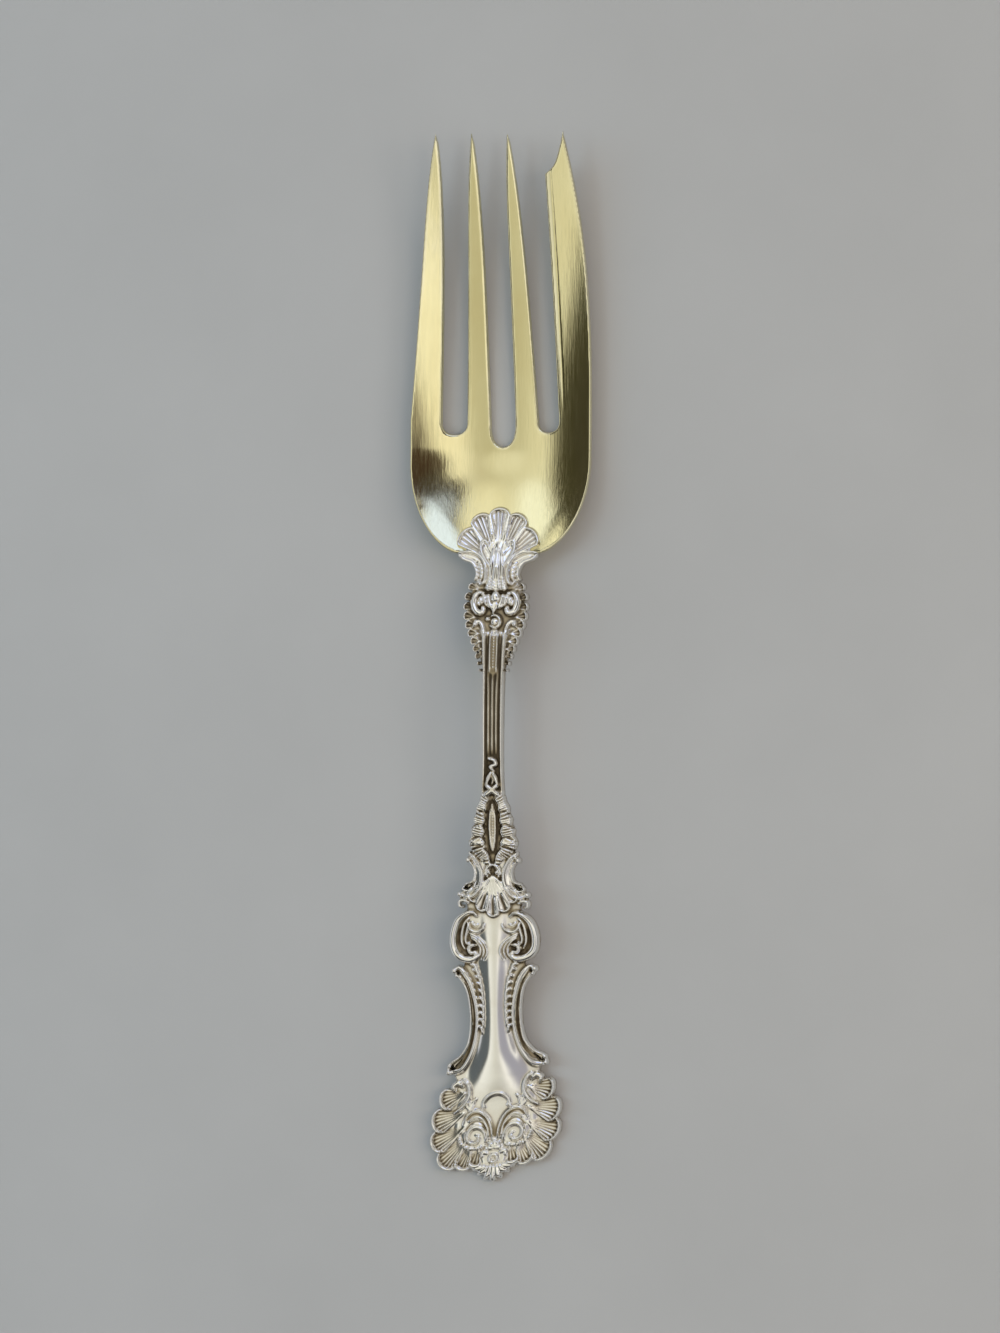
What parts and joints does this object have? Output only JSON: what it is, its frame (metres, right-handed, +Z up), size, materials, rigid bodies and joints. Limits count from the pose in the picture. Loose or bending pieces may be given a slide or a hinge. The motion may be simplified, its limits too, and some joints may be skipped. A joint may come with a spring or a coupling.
{
  "type": "serving fork",
  "caption": "Silver serving fork with a dished gilt head, pointed tines, a barbed cutting tine and a handle struck with shells, scrolls and crossed ribbons.",
  "frame": {"origin": "on the table, under the middle of the fork's length and width", "axes": "+Y along the fork from the handle's end to the tine tips, +X to the side of the cutting tine, +Z up from the table"},
  "size_m": [0.0402, 0.2287, 0.0129],
  "materials": {
    "gilt": "satin",
    "silver": "polished",
    "solder": "matte"
  },
  "bodies": {
    "root": {"fork_head": "gilt", "handle": "silver", "solder_seam": "solder"}
  },
  "joints": []
}
